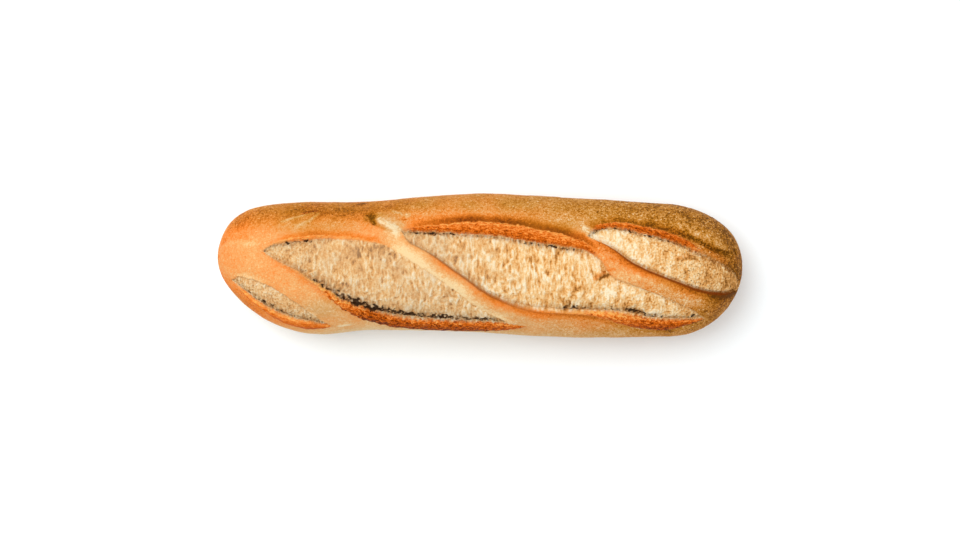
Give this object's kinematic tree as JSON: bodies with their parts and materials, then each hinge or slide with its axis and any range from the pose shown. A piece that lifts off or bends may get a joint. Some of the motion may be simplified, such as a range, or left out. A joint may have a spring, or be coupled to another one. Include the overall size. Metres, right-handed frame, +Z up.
{
  "type": "mini baguette",
  "caption": "Small baked baguette on a flat base, with rounded ends and long slanting cuts that opened into pale crumb beside raised crust lips.",
  "frame": {"origin": "centre of the flat base, halfway along and across the loaf's bounding box", "axes": "+X along the loaf towards its browner right end, +Y across it towards the top of the picture, +Z up from the flat base to the cut crown"},
  "size_m": [0.22, 0.0604, 0.0462],
  "materials": {
    "crust": null
  },
  "bodies": {
    "root": {"loaf": "crust"}
  },
  "joints": []
}
